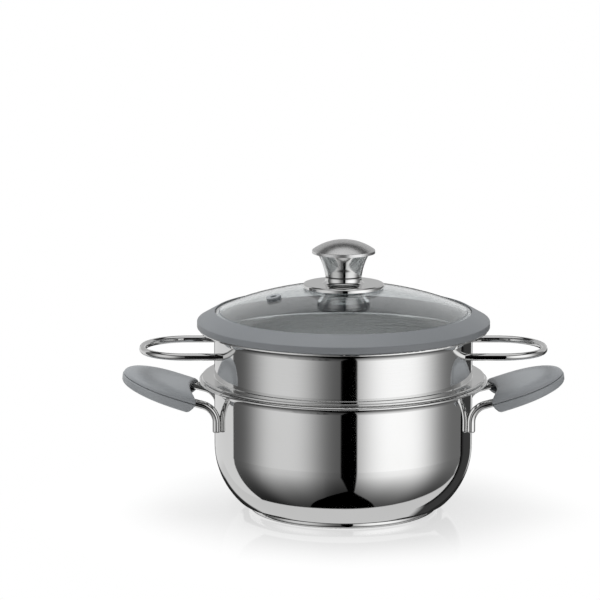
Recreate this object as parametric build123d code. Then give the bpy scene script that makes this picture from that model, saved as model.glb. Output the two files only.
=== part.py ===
from build123d import *
import math
import os

# A two-level steamer: a pot with a thick base, a perforated basket that stands in
# its mouth, and a domed glass lid on the basket. Millimetres, +Z up. The origin is
# the middle of the pot's underside, and the handles lie along X.

# Pot shell
mouth_radius = 100.0          # inside radius of the pot, the basket band and both mouths
pot_sheet = 0.8
pot_height = 103.0            # floor to the top face of the lip
shoulder_radius = 60.0        # the large round of the belly, outside
heel_radius = 12.0            # the small round into the flat bottom, inside
heel_turn = 45.0              # degrees turned by the small round

# Lip of the pot and of the basket
lip_reach = 12.5              # inside of the wall to the outer edge of the lip
lip_bend = 8.0                # radius of the flare, on the upper face
lip_edge_drop = 0.5           # straight end of the turned-down edge
lip_edge_bend = 1.3           # radius of the turned-down edge, on the upper face

# Base disc of the pot
core_thickness = 4.0
core_edge_round = 2.2
base_cap_sheet = 0.5

# Wire handles of the pot
pot_wire = 6.3
pot_leg_half_gap = 32.0       # middle of the handle to the middle of a leg
pot_leg_below_rim = 37.0      # top of the lip to the lower end of a leg
pot_leg_straight = 8.35
pot_leg_bend = 14.0
pot_leg_end_round = 1.5       # round of the cut ends of a leg
pot_loop_reach = 59.5         # inside of the pot's wall to the outer edge of the loop
pot_loop_corner_share = 0.94  # corner radius of the loop, as a share of the half gap
handle_rise = 15.0            # degrees that the loop climbs outwards
weld_flat = 0.5               # depth of the flattened weld face on a wire

# Slip-on grips
grip_side = 7.5               # middle of a leg to the widest place of the grip
grip_root_reach = 14.0        # inside of the pot's wall to the grip's root edge
grip_past_loop = 12.5         # outer edge of the loop to the tip of the grip
grip_root_top = 6.4           # root: wire to the upper face
grip_root_bottom = 8.0        # root: wire to the lower face
grip_tip_top = 5.6
grip_tip_bottom = 7.0
grip_notch = 7.0              # depth of the hollow in the root edge
grip_root_share = 0.95        # width at the root, as a share of the full width
grip_widest_share = 0.35      # place of the full width, as a share of the length
grip_edge_round = 3.6
grip_fit = 0.35               # clearance of the pocket round the wire

# Basket
basket_sheet = 0.7
basket_depth = 71.0           # rim to the underside of the floor
bead_below_rim = 41.0         # rim to the face of the bead that rests on the pot
bead_reach = 10.5             # inside of the band to the outer edge of the bead
bead_gap = 0.9                # hollow inside the folded bead
bead_bend = 0.6               # inside radius of the folds at the root of the bead
basket_clearance = 1.9        # lower section to the inside of the pot
basket_corner = 15.5          # round between the lower wall and the floor, outside

# Floor of the basket
hole_diameter = 3.4
hole_margin = 11.5            # edge of the flat floor to the outermost ring of holes
hole_ring_counts = (6, 12, 12, 24, 24, 24)
hole_ring_turn = 9.5          # degrees from +X to the first hole of each ring
foot_ring = 5                 # ring of holes that the three feet share
foot_places = (4, 12, 20)     # holes of that ring that a foot replaces
foot_radius = 6.6
foot_depth = 4.2
foot_hole_radius = 2.5
foot_slope_share = 0.5        # radius of the dimple's floor over that of its mouth

# Wire handles of the basket
basket_wire = 5.5
basket_leg_half_gap = 36.5
basket_loop_reach = 59.0
basket_loop_corner_share = 0.93
basket_loop_below_rim = 17.5

# Lid glass
glass_thickness = 4.0
glass_sphere = 254.0          # radius of the dome, outside
glass_hole_radius = 5.6
glass_view_height = 11.6      # rim of the basket to the glass at the ring's top edge

# Silicone ring of the lid
ring_past_lip = 1.5           # edge of the basket's lip to the side of the ring
ring_shoulder_drop = 6.2      # glass at the ring's top edge to the top of the ring's side
ring_wall = 10.0              # side of the ring to the edge of the glass
ring_over = 4.0               # how far the ring covers the glass on top
ring_under = 9.0              # how far it reaches in under the glass
ring_locating_depth = 4.6
ring_locating_fit = 0.5
ring_round = 1.3
ring_edge_height = 0.9        # thickness of the ring's edge on the glass
seal_fit = 0.1                # clearance of the glass in its groove

# Steam vent
vent_x = -54.0
vent_y = -20.0
vent_radius = 5.8
vent_neck_radius = 4.2
vent_hole_radius = 2.5
vent_flange = 1.6

# Knob
disc_radius = 31.5
disc_thickness = 3.0
top_seal_thickness = 1.0
bottom_seal_thickness = 1.0
collar_flare = 2.3            # foot of the collar past its neck
collar_height = 5.0
groove_height = 1.0
groove_depth = 1.2
knob_neck_radius = 14.2
knob_body_height = 17.7
knob_top_radius = 20.3
knob_flare_sag = 0.9          # hollow of the flared faces
cap_overhang = 4.2            # cap past the top of the flared body
cap_rim = 2.3
cap_rise = 8.0
cap_edge_round = 1.2
disc_edge_round = 1.5
seal_radius = 13.5
knob_sheet = 0.8
knob_fit = 0.1                # clearance between pressed knob pieces
insert_radius = 4.6
insert_head_radius = 7.0
insert_head_height = 2.0
screw_radius = 2.5
screw_end = 1.5               # how far the screw stands past the insert
screw_head_radius = 4.5
screw_head_height = 2.6
screw_slot_width = 1.1
screw_slot_depth = 1.4
washer_radius = 6.5
washer_thickness = 1.0

# Cup under the glass
cup_neck_radius = 15.5
cup_flare = 4.3
cup_height = 8.6
cup_sheet = 0.8

cut_overrun = 20.0            # how far a cutting solid passes the faces that it cuts


def track(start, heading, moves):
    """Edges from a start point and a heading in degrees: runs and tangent turns."""
    edges = []
    point = Vector(*start)
    tangent = Vector(1, 0).rotate(Axis.Z, heading)
    for kind, size, angle in moves:
        if kind == "run":
            edge = Line(point, point + tangent * size)
        else:
            edge = JernArc(point, tangent, size, angle)
        edges.append(edge)
        point = edge @ 1
        tangent = edge % 1
    return edges


def run(length):
    """A straight move of a track."""
    return ("run", length, 0)


def left(radius, angle=90.0):
    """A turn of a track to the left, by degrees."""
    return ("turn", radius, angle)


def right(radius, angle=90.0):
    """A turn of a track to the right, by degrees."""
    return ("turn", radius, -angle)


def beside(moves, sheet):
    """The same moves one sheet thickness to the right."""
    shifted = []
    for kind, size, angle in moves:
        if kind == "turn":
            size += math.copysign(sheet, angle)
        shifted.append((kind, size, angle))
    return shifted


def spin(edges):
    """The solid of revolution of a closed outline given as radius and height."""
    return revolve(make_face(Plane.XZ.location * Wire(edges)), axis=Axis.Z)


def sheet_shell(start, moves, sheet):
    """A spun sheet whose inner face leaves the axis outwards along the moves."""
    inner = track(start, 0, moves)
    below = (start[0], start[1] - sheet)
    outer = track(below, 0, beside(moves, sheet))
    near_end = Line(inner[0] @ 0, outer[0] @ 0)
    far_end = Line(inner[-1] @ 1, outer[-1] @ 1)
    return spin(inner + outer + [near_end, far_end])


def ring(outer, inner, bottom, top):
    """A plain tube or washer about Z."""
    corners = ((inner, bottom), (outer, bottom), (outer, top), (inner, top))
    return spin(Polyline(*corners, close=True).edges())


def lip_moves():
    """The flare, the flat land and the turned-down edge, from the top of a wall."""
    land = lip_reach - lip_bend - lip_edge_bend
    return [right(lip_bend), run(land), right(lip_edge_bend), run(lip_edge_drop)]


def ball(radius):
    """A ball about the middle of the lid's dome."""
    return Pos(0, 0, dome_centre) * Sphere(radius)


# Heights and radii that follow from the sizes above
pot_floor = base_cap_sheet + core_thickness + pot_sheet
pot_outer_radius = mouth_radius + pot_sheet
pot_leg_bottom = pot_height - pot_leg_below_rim
shoulder_inside = shoulder_radius - pot_sheet
heel_sine = math.sin(math.radians(heel_turn))
heel_cosine = math.cos(math.radians(heel_turn))
base_radius = mouth_radius - heel_radius * heel_sine - shoulder_inside * (1 - heel_sine)
wall_bottom = pot_floor + heel_radius * (1 - heel_cosine) + shoulder_inside * heel_cosine
basket_rim = pot_height + bead_below_rim
basket_floor = basket_rim - basket_depth + basket_sheet
lower_inside = mouth_radius - basket_clearance - basket_sheet
band_outer_radius = mouth_radius + basket_sheet
lip_radius = mouth_radius + lip_reach
bead_radius = mouth_radius + bead_reach
ring_radius = lip_radius + ring_past_lip
glass_radius = ring_radius - ring_wall
glass_view_radius = glass_radius - ring_over
ring_inner_radius = glass_radius - ring_under
dome_centre = basket_rim + glass_view_height - math.sqrt(glass_sphere**2 - glass_view_radius**2)
glass_top = dome_centre + glass_sphere
glass_underside = glass_top - glass_thickness
disc_top = glass_top + top_seal_thickness + knob_sheet
collar_top = disc_top + collar_height
body_bottom = collar_top + groove_height
cap_bottom = body_bottom + knob_body_height
cap_radius = knob_top_radius + cap_overhang
cup_top = glass_underside - bottom_seal_thickness
washer_bottom = cup_top - cup_sheet - washer_thickness


def pot_shell():
    """The bellied pot body with its flared lip, one spun sheet."""
    flat = base_radius
    straight = pot_height - lip_bend - wall_bottom
    moves = [
        run(flat),
        left(heel_radius, heel_turn),
        left(shoulder_inside, 90 - heel_turn),
        run(straight),
    ]
    return sheet_shell((0, pot_floor), moves + lip_moves(), pot_sheet)


def base_core():
    """The heat-spreading plate pressed under the pot's floor."""
    radius = base_radius - base_cap_sheet
    plate = Pos(0, 0, base_cap_sheet) * extrude(Circle(radius), core_thickness)
    return fillet(plate.edges().group_by(Axis.Z)[0], core_edge_round)


def base_cap():
    """The thin steel cap that wraps the plate from below."""
    radius = base_radius - base_cap_sheet
    inside_round = core_edge_round
    wall = core_thickness - inside_round
    moves = [run(radius - inside_round), left(inside_round), run(wall)]
    return sheet_shell((0, base_cap_sheet), moves, base_cap_sheet)


def wire_loop(points, corner_radii, wire, first_direction):
    """A round bar bent along straight stretches and tangent corners."""
    path = FilletPolyline(*points, radius=corner_radii)
    section = Plane(origin=points[0], z_dir=first_direction) * Circle(wire / 2)
    return sweep(section, path=path)


def pot_handle():
    """The bent wire handle on the +X side, welded to the wall by its two legs."""
    half = pot_leg_half_gap
    points = [
        (pot_leg_x, half, pot_leg_bottom),
        (pot_leg_x, half, pot_bend_corner),
        (pot_tip_x, half, pot_tip_height),
        (pot_tip_x, -half, pot_tip_height),
        (pot_leg_x, -half, pot_bend_corner),
        (pot_leg_x, -half, pot_leg_bottom),
    ]
    radii = [pot_leg_bend, pot_loop_corner, pot_loop_corner, pot_leg_bend]
    bar = wire_loop(points, radii, pot_wire, (0, 0, 1))
    cut_ends = bar.edges().filter_by_position(Axis.Z, pot_leg_bottom, pot_leg_bottom)
    bar = fillet(cut_ends, pot_leg_end_round)
    return bar - Cylinder(pot_outer_radius, 2 * pot_height)


def grip_outline():
    """The oval plan of a grip, with the hollow in its root edge."""
    widest = grip_root + grip_widest_share * (grip_tip - grip_root)
    half = grip_half_width
    root_half = half * grip_root_share
    tip = EllipticalCenterArc((widest, 0), grip_tip - widest, half, -90, arc_size=180)
    far_side = TangentArc(tip @ 1, (grip_root, root_half), tangent=(-1, 0))
    near_side = TangentArc(tip @ 0, (grip_root, -root_half), tangent=(-1, 0))
    hollow = ThreePointArc(far_side @ 1, (grip_root + grip_notch, 0), near_side @ 1)
    return make_face([tip, far_side, hollow, near_side])


def grip_pocket():
    """The space of the wire loop inside a grip, open at the root."""
    half_height = pot_wire / 2 + grip_fit
    half_width = pot_leg_half_gap + half_height
    start = grip_root - cut_overrun
    corners = [
        (start, half_width),
        (start, -half_width),
        (half_height, -half_width),
        (half_height, half_width),
    ]
    plan = make_face(Polyline(*corners, close=True))
    plan = fillet(plan.vertices().group_by(Axis.X)[-1], pot_loop_corner + half_height)
    return extrude(plan, half_height, both=True)


def grip():
    """The slip-on silicone grip of the +X handle: a tapered oval with a pocket."""
    length = grip_tip - grip_root
    side = Polyline(
        (grip_root, -grip_root_bottom),
        (grip_tip, -grip_tip_bottom),
        (grip_tip, grip_tip_top),
        (grip_root, grip_root_top),
        close=True,
    )
    taper = extrude(make_face(Plane.XZ.location * side), grip_half_width, both=True)
    block = extrude(grip_outline(), length, both=True) & taper
    long_faces = block.faces().sort_by(Axis.Z)
    long_edges = long_faces[0].edges() + long_faces[-1].edges()
    block = fillet(long_edges, grip_edge_round)
    return handle_plane.location * (block - grip_pocket())


def foot_centre(place):
    """The middle of a foot on the basket's floor."""
    turn_to = hole_ring_turn + place * 360 / hole_ring_counts[foot_ring - 1]
    radius = foot_ring * hole_ring_pitch
    return Pos(
        radius * math.cos(math.radians(turn_to)),
        radius * math.sin(math.radians(turn_to)),
        basket_floor,
    )


def foot_cone(wall):
    """The pressed hollow of a foot below the floor's top face, or its outer form."""
    slope = foot_radius * (1 - foot_slope_share)
    bottom = foot_radius * foot_slope_share + wall
    depth = foot_depth + wall
    spread = slope * depth / foot_depth
    cone = Cone(bottom, bottom + spread, depth, align=(Align.CENTER, Align.CENTER, Align.MAX))
    return cone


def floor_holes():
    """All the round holes of the basket's floor, as one group of cutting bars."""
    bar = Pos(0, 0, basket_floor) * Cylinder(hole_diameter / 2, 4 * basket_sheet)
    bars = [bar]
    for ring_number, count in enumerate(hole_ring_counts, start=1):
        radius = ring_number * hole_ring_pitch
        for place in range(count):
            if ring_number == foot_ring and place in foot_places:
                continue
            angle = hole_ring_turn + place * 360 / count
            bars.append(Rot(0, 0, angle) * Pos(radius, 0, 0) * bar)
    return bars


def basket_shell():
    """The perforated basket: floor, lower wall, folded bead, band and lip."""
    fold = bead_bend + basket_sheet
    half_gap = bead_gap / 2
    bead_run = bead_radius - basket_sheet - half_gap
    seat = pot_height + basket_sheet
    lower_run = seat - fold - basket_floor - corner_inside
    band_bottom = seat + bead_gap + fold
    band_run = basket_rim - lip_bend - band_bottom
    moves = [
        run(floor_flat_radius),
        left(corner_inside),
        run(lower_run),
        right(fold),
        run(bead_run - lower_inside - fold),
        left(half_gap, 180),
        run(bead_run - mouth_radius - fold),
        right(fold),
        run(band_run),
    ]
    shell = sheet_shell((0, basket_floor), moves + lip_moves(), basket_sheet)
    places = [foot_centre(place) for place in foot_places]
    shell = shell + [place * foot_cone(basket_sheet) for place in places]
    shell = shell - [place * foot_cone(0) for place in places]
    foot_drill = Cylinder(foot_hole_radius, 4 * foot_depth)
    return shell - [place * foot_drill for place in places] - floor_holes()


def basket_handle():
    """The flat-lying wire loop on the basket's +X side, butt-welded to the band."""
    half = basket_leg_half_gap
    tip = mouth_radius + basket_loop_reach - basket_wire / 2
    height = basket_rim - basket_loop_below_rim
    corner = half * basket_loop_corner_share
    start = band_outer_radius - 2 * basket_wire - half * half / band_outer_radius
    points = [
        (start, half, height),
        (tip, half, height),
        (tip, -half, height),
        (start, -half, height),
    ]
    bar = wire_loop(points, [corner, corner], basket_wire, (1, 0, 0))
    return bar - Cylinder(band_outer_radius, 4 * basket_rim)


def dome_arc(radius, near, far):
    """The stretch of a sphere about the dome's middle between two radii."""
    low = math.degrees(math.acos(far / radius))
    high = math.degrees(math.acos(near / radius))
    return CenterArc((0, dome_centre), radius, low, high - low)


def glass_solid(hole, rim, grow):
    """The domed glass between a middle hole and the rim, grown by a clearance."""
    over = dome_arc(glass_sphere + grow, hole, rim)
    under = dome_arc(glass_sphere - glass_thickness - grow, hole, rim)
    return spin([over, under, Line(over @ 0, under @ 0), Line(over @ 1, under @ 1)])


def lid_glass():
    """The domed glass with its knob hole and vent hole."""
    drill = vent_plane.location * Cylinder(vent_neck_radius, cut_overrun)
    return glass_solid(glass_hole_radius, glass_radius, 0) - drill


def lid_ring():
    """The silicone ring: seat, locating lip and the groove that grips the glass."""
    middle = glass_sphere - glass_thickness / 2
    locating = mouth_radius - ring_locating_fit
    view_level = dome_centre + math.sqrt(middle**2 - glass_view_radius**2)
    inner_level = dome_centre + math.sqrt(middle**2 - ring_inner_radius**2)
    edge_level = basket_rim + glass_view_height + ring_edge_height
    shoulder_level = basket_rim + glass_view_height - ring_shoulder_drop
    corners = [
        (locating, basket_rim - ring_locating_depth),
        (locating, basket_rim),
        (ring_radius, basket_rim),
        (ring_radius, shoulder_level),
        (glass_view_radius, edge_level),
        (glass_view_radius, view_level),
        (ring_inner_radius, inner_level),
        (ring_inner_radius, basket_rim - ring_locating_depth),
    ]
    outline = make_face(Polyline(*corners, close=True))
    outer_corners = outline.vertices().sort_by(Axis.X)[-2:]
    outline = fillet(outer_corners, ring_round)
    body = revolve(Plane.XZ.location * outline, axis=Axis.Z)
    return body - glass_solid(0, glass_radius + seal_fit, seal_fit)


def vent_grommet():
    """The silicone eyelet of the steam vent, gripping the glass from both sides."""
    under = -glass_thickness
    corners = [
        (vent_hole_radius, under - vent_flange),
        (vent_radius, under - vent_flange),
        (vent_radius, under),
        (vent_neck_radius, under),
        (vent_neck_radius, 0),
        (vent_radius, 0),
        (vent_radius, vent_flange),
        (vent_hole_radius, vent_flange),
    ]
    eyelet = vent_plane.location * spin(Polyline(*corners, close=True).edges())
    return eyelet - lid_glass()


def bell(top_radius, flare, top, height, sheet, hole):
    """A pressed bell: a flat top with a hole and a flared, hollow-sided skirt."""
    foot = top_radius + flare
    bottom = top - height
    outside = SagittaArc((top_radius, top), (foot, bottom), -knob_flare_sag)
    inside = SagittaArc(
        (foot - sheet, bottom),
        (top_radius - sheet, top - sheet),
        knob_flare_sag,
    )
    edges = [
        Line((hole, top), (top_radius, top)),
        outside,
        Line(outside @ 1, inside @ 0),
        inside,
        Line(inside @ 1, (hole, top - sheet)),
        Line((hole, top - sheet), (hole, top)),
    ]
    return spin(edges)


def knob_disc():
    """The flange under the knob: a pressed disc with a turned-down edge."""
    flat = disc_radius - disc_edge_round - screw_hole
    moves = [run(flat), right(disc_edge_round), run(disc_thickness - disc_edge_round)]
    return sheet_shell((screw_hole, disc_top), moves, knob_sheet)


def knob_body():
    """The flared hollow body of the knob, with a flange for the cap."""
    flange = cap_radius - knob_sheet - knob_fit
    floor_top = body_bottom + knob_sheet
    flange_top = cap_bottom + knob_sheet
    hole = insert_radius + knob_fit
    outside = SagittaArc(
        (knob_neck_radius, body_bottom),
        (knob_top_radius, cap_bottom),
        knob_flare_sag,
    )
    inside = SagittaArc(
        (knob_top_radius - knob_sheet, flange_top),
        (knob_neck_radius - knob_sheet, floor_top),
        -knob_flare_sag,
    )
    edges = [
        Line((hole, body_bottom), outside @ 0),
        outside,
        Line(outside @ 1, (flange, cap_bottom)),
        Line((flange, cap_bottom), (flange, flange_top)),
        Line((flange, flange_top), inside @ 0),
        inside,
        Line(inside @ 1, (hole, floor_top)),
        Line((hole, floor_top), (hole, body_bottom)),
    ]
    return spin(edges)


def knob_cap():
    """The domed cap, whose rim closes over the body's flange."""
    rim_top = cap_bottom + cap_rim
    sphere = (cap_radius**2 + cap_rise**2) / (2 * cap_rise)
    crown = rim_top + cap_rise
    inner_rim = cap_radius - knob_sheet
    inner_sphere = sphere - knob_sheet
    inner_level = crown - sphere + math.sqrt(inner_sphere**2 - inner_rim**2)
    over = RadiusArc((0, crown), (cap_radius, rim_top), sphere)
    under = RadiusArc((0, crown - knob_sheet), (inner_rim, inner_level), inner_sphere)
    edges = [
        over,
        Line(over @ 1, (cap_radius, cap_bottom)),
        Line((cap_radius, cap_bottom), (inner_rim, cap_bottom)),
        Line((inner_rim, cap_bottom), under @ 1),
        under,
        Line(under @ 0, over @ 0),
    ]
    cap = spin(edges)
    rim_edges = cap.edges().filter_by_position(Axis.Z, rim_top, rim_top)
    return fillet(rim_edges, cap_edge_round)


def groove_ring():
    """The dark ring in the thin groove between the collar and the body."""
    outer = knob_neck_radius - groove_depth
    return ring(outer, insert_radius + knob_fit, collar_top, body_bottom)


def collar():
    """The short flared collar between the disc and the groove."""
    hole = insert_radius + knob_fit
    return bell(knob_neck_radius, collar_flare, collar_top, collar_height, knob_sheet, hole)


def knob_insert():
    """The threaded sleeve with a head inside the knob, which takes the screw."""
    head_bottom = body_bottom + knob_sheet
    head_top = head_bottom + insert_head_height
    sleeve = ring(insert_radius, screw_hole, disc_top, head_top)
    return sleeve + ring(insert_head_radius, screw_hole, head_bottom, head_top)


def knob_screw():
    """The screw that clamps the whole knob stack from under the glass."""
    head_bottom = washer_bottom - screw_head_height
    tip = body_bottom + knob_sheet + insert_head_height + screw_end
    screw = ring(screw_head_radius, 0, head_bottom, washer_bottom)
    screw = screw + ring(screw_radius, 0, head_bottom, tip)
    slot = Pos(0, 0, head_bottom) * Box(screw_head_radius, screw_slot_width, 2 * screw_slot_depth)
    return screw - slot - Rot(0, 0, 90) * slot


def lock_washer():
    """The washer between the screw's head and the cup."""
    return ring(washer_radius, screw_hole, washer_bottom, cup_top - cup_sheet)


def under_cup():
    """The flared cup that the screw pulls against the glass from below."""
    return bell(cup_neck_radius, cup_flare, cup_top, cup_height, cup_sheet, screw_hole)


def top_seal():
    """The washer between the glass and the knob's disc."""
    upper = disc_top - knob_sheet
    return ring(seal_radius, screw_hole, glass_underside, upper) - ball(glass_sphere + knob_fit)


def bottom_seal():
    """The washer between the glass and the cup below it."""
    blank = ring(seal_radius, screw_hole, cup_top, glass_top)
    return blank & ball(glass_sphere - glass_thickness - knob_fit)


def glass_bush():
    """The sleeve that keeps the screw off the edge of the glass hole."""
    blank = ring(glass_hole_radius - knob_fit, screw_hole, cup_top, disc_top)
    return (blank & ball(glass_sphere)) - ball(glass_sphere - glass_thickness)


# Places that the handles, the basket and the lid share
rise_slope = math.tan(math.radians(handle_rise))
pot_leg_axis = pot_outer_radius + pot_wire / 2 - weld_flat
pot_leg_x = math.sqrt(pot_leg_axis**2 - pot_leg_half_gap**2)
bend_reach = pot_leg_bend * math.tan(math.radians(90 - handle_rise) / 2)
pot_bend_corner = pot_leg_bottom + pot_leg_straight + bend_reach
pot_loop_corner = pot_leg_half_gap * pot_loop_corner_share
pot_tip_x = mouth_radius + pot_loop_reach - pot_wire / 2
pot_tip_height = pot_bend_corner + (pot_tip_x - pot_leg_x) * rise_slope
slope_cosine = math.cos(math.radians(handle_rise))
slope_sine = math.sin(math.radians(handle_rise))
grip_half_width = pot_leg_half_gap + grip_side
grip_root = (mouth_radius + grip_root_reach - pot_tip_x) / slope_cosine
grip_tip = (pot_wire / 2 + grip_past_loop) / slope_cosine
handle_plane = Plane(
    origin=(pot_tip_x, 0, pot_tip_height),
    x_dir=(slope_cosine, 0, slope_sine),
    z_dir=(-slope_sine, 0, slope_cosine),
)
corner_inside = basket_corner - basket_sheet
floor_flat_radius = lower_inside - corner_inside
hole_ring_pitch = (floor_flat_radius - hole_margin) / len(hole_ring_counts)
screw_hole = screw_radius + knob_fit
vent_level = math.sqrt(glass_sphere**2 - vent_x**2 - vent_y**2)
vent_plane = Plane(
    origin=(vent_x, vent_y, dome_centre + vent_level),
    z_dir=(vent_x, vent_y, vent_level),
)
opposite = Rot(0, 0, 180)

right_pot_handle = pot_handle()
right_grip = grip()
right_basket_handle = basket_handle()

pieces = {
    "pot_shell": pot_shell(),
    "base_core": base_core(),
    "base_cap": base_cap(),
    "pot_handle_right": right_pot_handle,
    "pot_handle_left": opposite * right_pot_handle,
    "grip_right": right_grip,
    "grip_left": opposite * right_grip,
    "basket_shell": basket_shell(),
    "basket_handle_right": right_basket_handle,
    "basket_handle_left": opposite * right_basket_handle,
    "lid_glass": lid_glass(),
    "lid_ring": lid_ring(),
    "vent_grommet": vent_grommet(),
    "knob_cap": knob_cap(),
    "knob_body": knob_body(),
    "knob_groove_ring": groove_ring(),
    "knob_collar": collar(),
    "knob_disc": knob_disc(),
    "knob_insert": knob_insert(),
    "knob_screw": knob_screw(),
    "lock_washer": lock_washer(),
    "knob_top_seal": top_seal(),
    "knob_bottom_seal": bottom_seal(),
    "glass_bush": glass_bush(),
    "under_cup": under_cup(),
}

os.makedirs("parts", exist_ok=True)
for name, piece in pieces.items():
    export_step(piece, f"parts/{name}.step")
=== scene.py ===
import bmesh
import bpy
import math
from mathutils import Matrix, Vector


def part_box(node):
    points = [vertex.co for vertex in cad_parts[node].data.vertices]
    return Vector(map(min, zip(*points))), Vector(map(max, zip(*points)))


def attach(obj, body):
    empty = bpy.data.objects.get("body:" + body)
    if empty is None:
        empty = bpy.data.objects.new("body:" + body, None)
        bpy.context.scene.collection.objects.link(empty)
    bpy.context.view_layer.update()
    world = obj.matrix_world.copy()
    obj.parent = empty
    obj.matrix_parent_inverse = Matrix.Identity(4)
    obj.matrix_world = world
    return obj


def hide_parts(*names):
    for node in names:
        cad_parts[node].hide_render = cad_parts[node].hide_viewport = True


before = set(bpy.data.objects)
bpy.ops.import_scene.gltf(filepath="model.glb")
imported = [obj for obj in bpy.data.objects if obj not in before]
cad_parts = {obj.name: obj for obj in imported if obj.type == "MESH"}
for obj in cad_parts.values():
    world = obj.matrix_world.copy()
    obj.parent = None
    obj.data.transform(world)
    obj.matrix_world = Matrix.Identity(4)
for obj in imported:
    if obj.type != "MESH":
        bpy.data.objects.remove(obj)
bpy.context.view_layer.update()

# How the photograph is framed. One pixel of it is this many metres at the pot's axis.
METRES_PER_PIXEL = 0.000778
PHOTO_SIDE = 600
ORIGIN_PIXEL = Vector((343.5, 508.0))
CAMERA_ELEVATION = math.radians(10.2)
CAMERA_DISTANCE = 2.2
SENSOR_WIDTH = 36             # millimetres
NEAREST = 0.1
FARTHEST = 20

# Sizes of the real pieces that the pictures need and the frame doesn't tell, in metres
WIRE_RADIUS = 0.00315
HANDLE_RISE = math.radians(15)
LEG_HALF_GAP = 0.032
LOOP_CORNER = 0.0301
POCKET_FIT = 0.00035
POCKET_OVERRUN = 0.02
STEEL_SHEET = 0.0008
BASKET_SHEET = 0.0007
BASKET_FOOT_DEPTH = 0.0042
POT_BORE = 0.1
LIP_ROLL = 0.0021
DOME_RADIUS = 0.254
GLASS_THICKNESS = 0.004
GLASS_HOLE_RADIUS = 0.0056

# How finely the shapes are drawn
FINE_STEPS = 192
ARC_STEPS = 8
BEND_STEPS = 16
MERGE_DISTANCE = 0.000005
NEAR_AXIS = 0.001
SHARP_ANGLE = 35
RING_SHARP_ANGLE = 30

# Section of the lid's silicone ring
RING_WIDTH = 0.019
RING_COVER = 0.004
RING_LIP = 0.0005
RING_LIP_SINK_SHARE = 0.25
RING_SIDE = 0.0054
RING_SHOULDER = 0.0011
RING_FOOT = 0.0006
RING_LOCATING = 0.0995

# Steam vent
VENT_RADIUS = 0.0058
VENT_NECK_RADIUS = 0.0042
VENT_HOLE_RADIUS = 0.0025
VENT_FLANGE = 0.0016
VENT_BEAD = 0.0007
VENT_STEPS = 64

# Silicone grips, measured in their own middle plane
GRIP_RISE = math.radians(18)
GRIP_DROP = 0.0006
GRIP_ROOT_X = 0.114
GRIP_TIP_X = 0.172
GRIP_LENGTH = (GRIP_TIP_X - GRIP_ROOT_X) / math.cos(GRIP_RISE)
GRIP_HALF_WIDTH = 0.0395
GRIP_ROOT_SHARE = 0.95
GRIP_ROOT_HALF = GRIP_ROOT_SHARE * GRIP_HALF_WIDTH
GRIP_WIDEST_SHARE = 0.35
GRIP_WIDEST = GRIP_WIDEST_SHARE * GRIP_LENGTH
GRIP_NOTCH = 0.007
GRIP_TOP = (0.007, 0.0062)
GRIP_BOTTOM = (0.008, 0.0064)
GRIP_CROWN_POWER = 6.0
GRIP_CROWN_BLUNT = 0.45
GRIP_CORNER = 0.0015
GRIP_EDGE = 0.002
GRIP_DRAFT = 0.001
GRIP_CREASE = 0.0009
GRIP_SET_BACK = 0.0035
GRIP_STEPS = 24
GRIP_FACE_STEPS = 4
GRIP_EDGE_STEPS = 8
GRIP_SIDE_SHARES = (0.75, 0.5, 0.25)
GRIP_CREASE_SHARES = ((0, 1), (0.1, 0.5), (0.4, 0.25), (1.5, 0))
GRIP_SHARP_ANGLE = 40

# Finishes. Roughness and colour run between two values over a noise of some scale.
NOISE_SPAN = (0.3, 0.7)
SKIN_SPAN = (0.2, 0.8)
GRAIN_SPAN = (0.2, 0.9)
HAZE_SCALE = 35.0
BRUSH_SCALE = 60.0
BLUR_SCALE = 300.0
CLOUD_SCALE = 40.0
SKIN_SCALE = 2600.0
SMEAR_SCALE = 25.0
ROUGH_DETAIL = 3.0
POLISHED_ROUGHNESS = (0.035, 0.06)
BRUSHED_ROUGHNESS = (0.12, 0.18)
SATIN_ROUGHNESS = (0.24, 0.34)
POLISHED_OUTSIDE = 0.05
SILICONE_ROUGHNESS = (0.34, 0.44)
SILICONE_SPECULAR = 0.5
SKIN_STRENGTH = 0.12
SKIN_DEPTH = 0.0002
GLASS_ROUGHNESS = (0.0, 0.015)
GLASS_IOR = 1.5
CAP_ROUGHNESS = (0.24, 0.3)
CAP_ANISOTROPY = 0.12
PART_ROUGHNESS = (0.2, 0.35)
BASKET_ANISOTROPY = 0.7
BRUSH_STRETCH = (1, 1, 60)
CAP_LINES = 9000.0
CAP_LINE_SHARE = 0.25
FLOOR_LINES = 7000.0
FLOOR_LINE_SHARE = 0.15
FLOOR_BLEND = (0.001, 0.002)
FACE_BLEND = 0.05

# Colours of the finishes, as screen values of 0 to 255
POLISHED_COLOURS = ((226, 226, 225), (232, 232, 232))
SPUN_COLOURS = ((216, 216, 216), (228, 228, 228))
BASKET_COLOURS = ((222, 222, 221), (231, 231, 231))
GLASS_COLOURS = ((236, 240, 241), (242, 245, 246))
GLASS_SHADOW_COLOUR = (226, 231, 233)
GRIP_COLOURS = ((128, 131, 134), (134, 137, 140))
# The ring's colours are the grips' grey silicone made darker: painted shade for the ring's
# faces, which get less light.
RING_SHADED_COLOURS = ((106, 109, 112), (111, 114, 117))
SEAL_COLOURS = ((26, 26, 27), (34, 34, 35))


# Node helpers


def new_tree(name):
    """A new material with nodes, its tree and its shader."""
    material = bpy.data.materials.new(name)
    material.use_nodes = True
    tree = material.node_tree
    return material, tree, tree.nodes["Principled BSDF"]


def math_of(tree, operation, *values):
    """A Math node whose inputs are sockets or numbers; gives its output."""
    node = tree.nodes.new("ShaderNodeMath")
    node.operation = operation
    for place, value in enumerate(values):
        if isinstance(value, (int, float)):
            node.inputs[place].default_value = value
        else:
            tree.links.new(value, node.inputs[place])
    return node.outputs[0]


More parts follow.
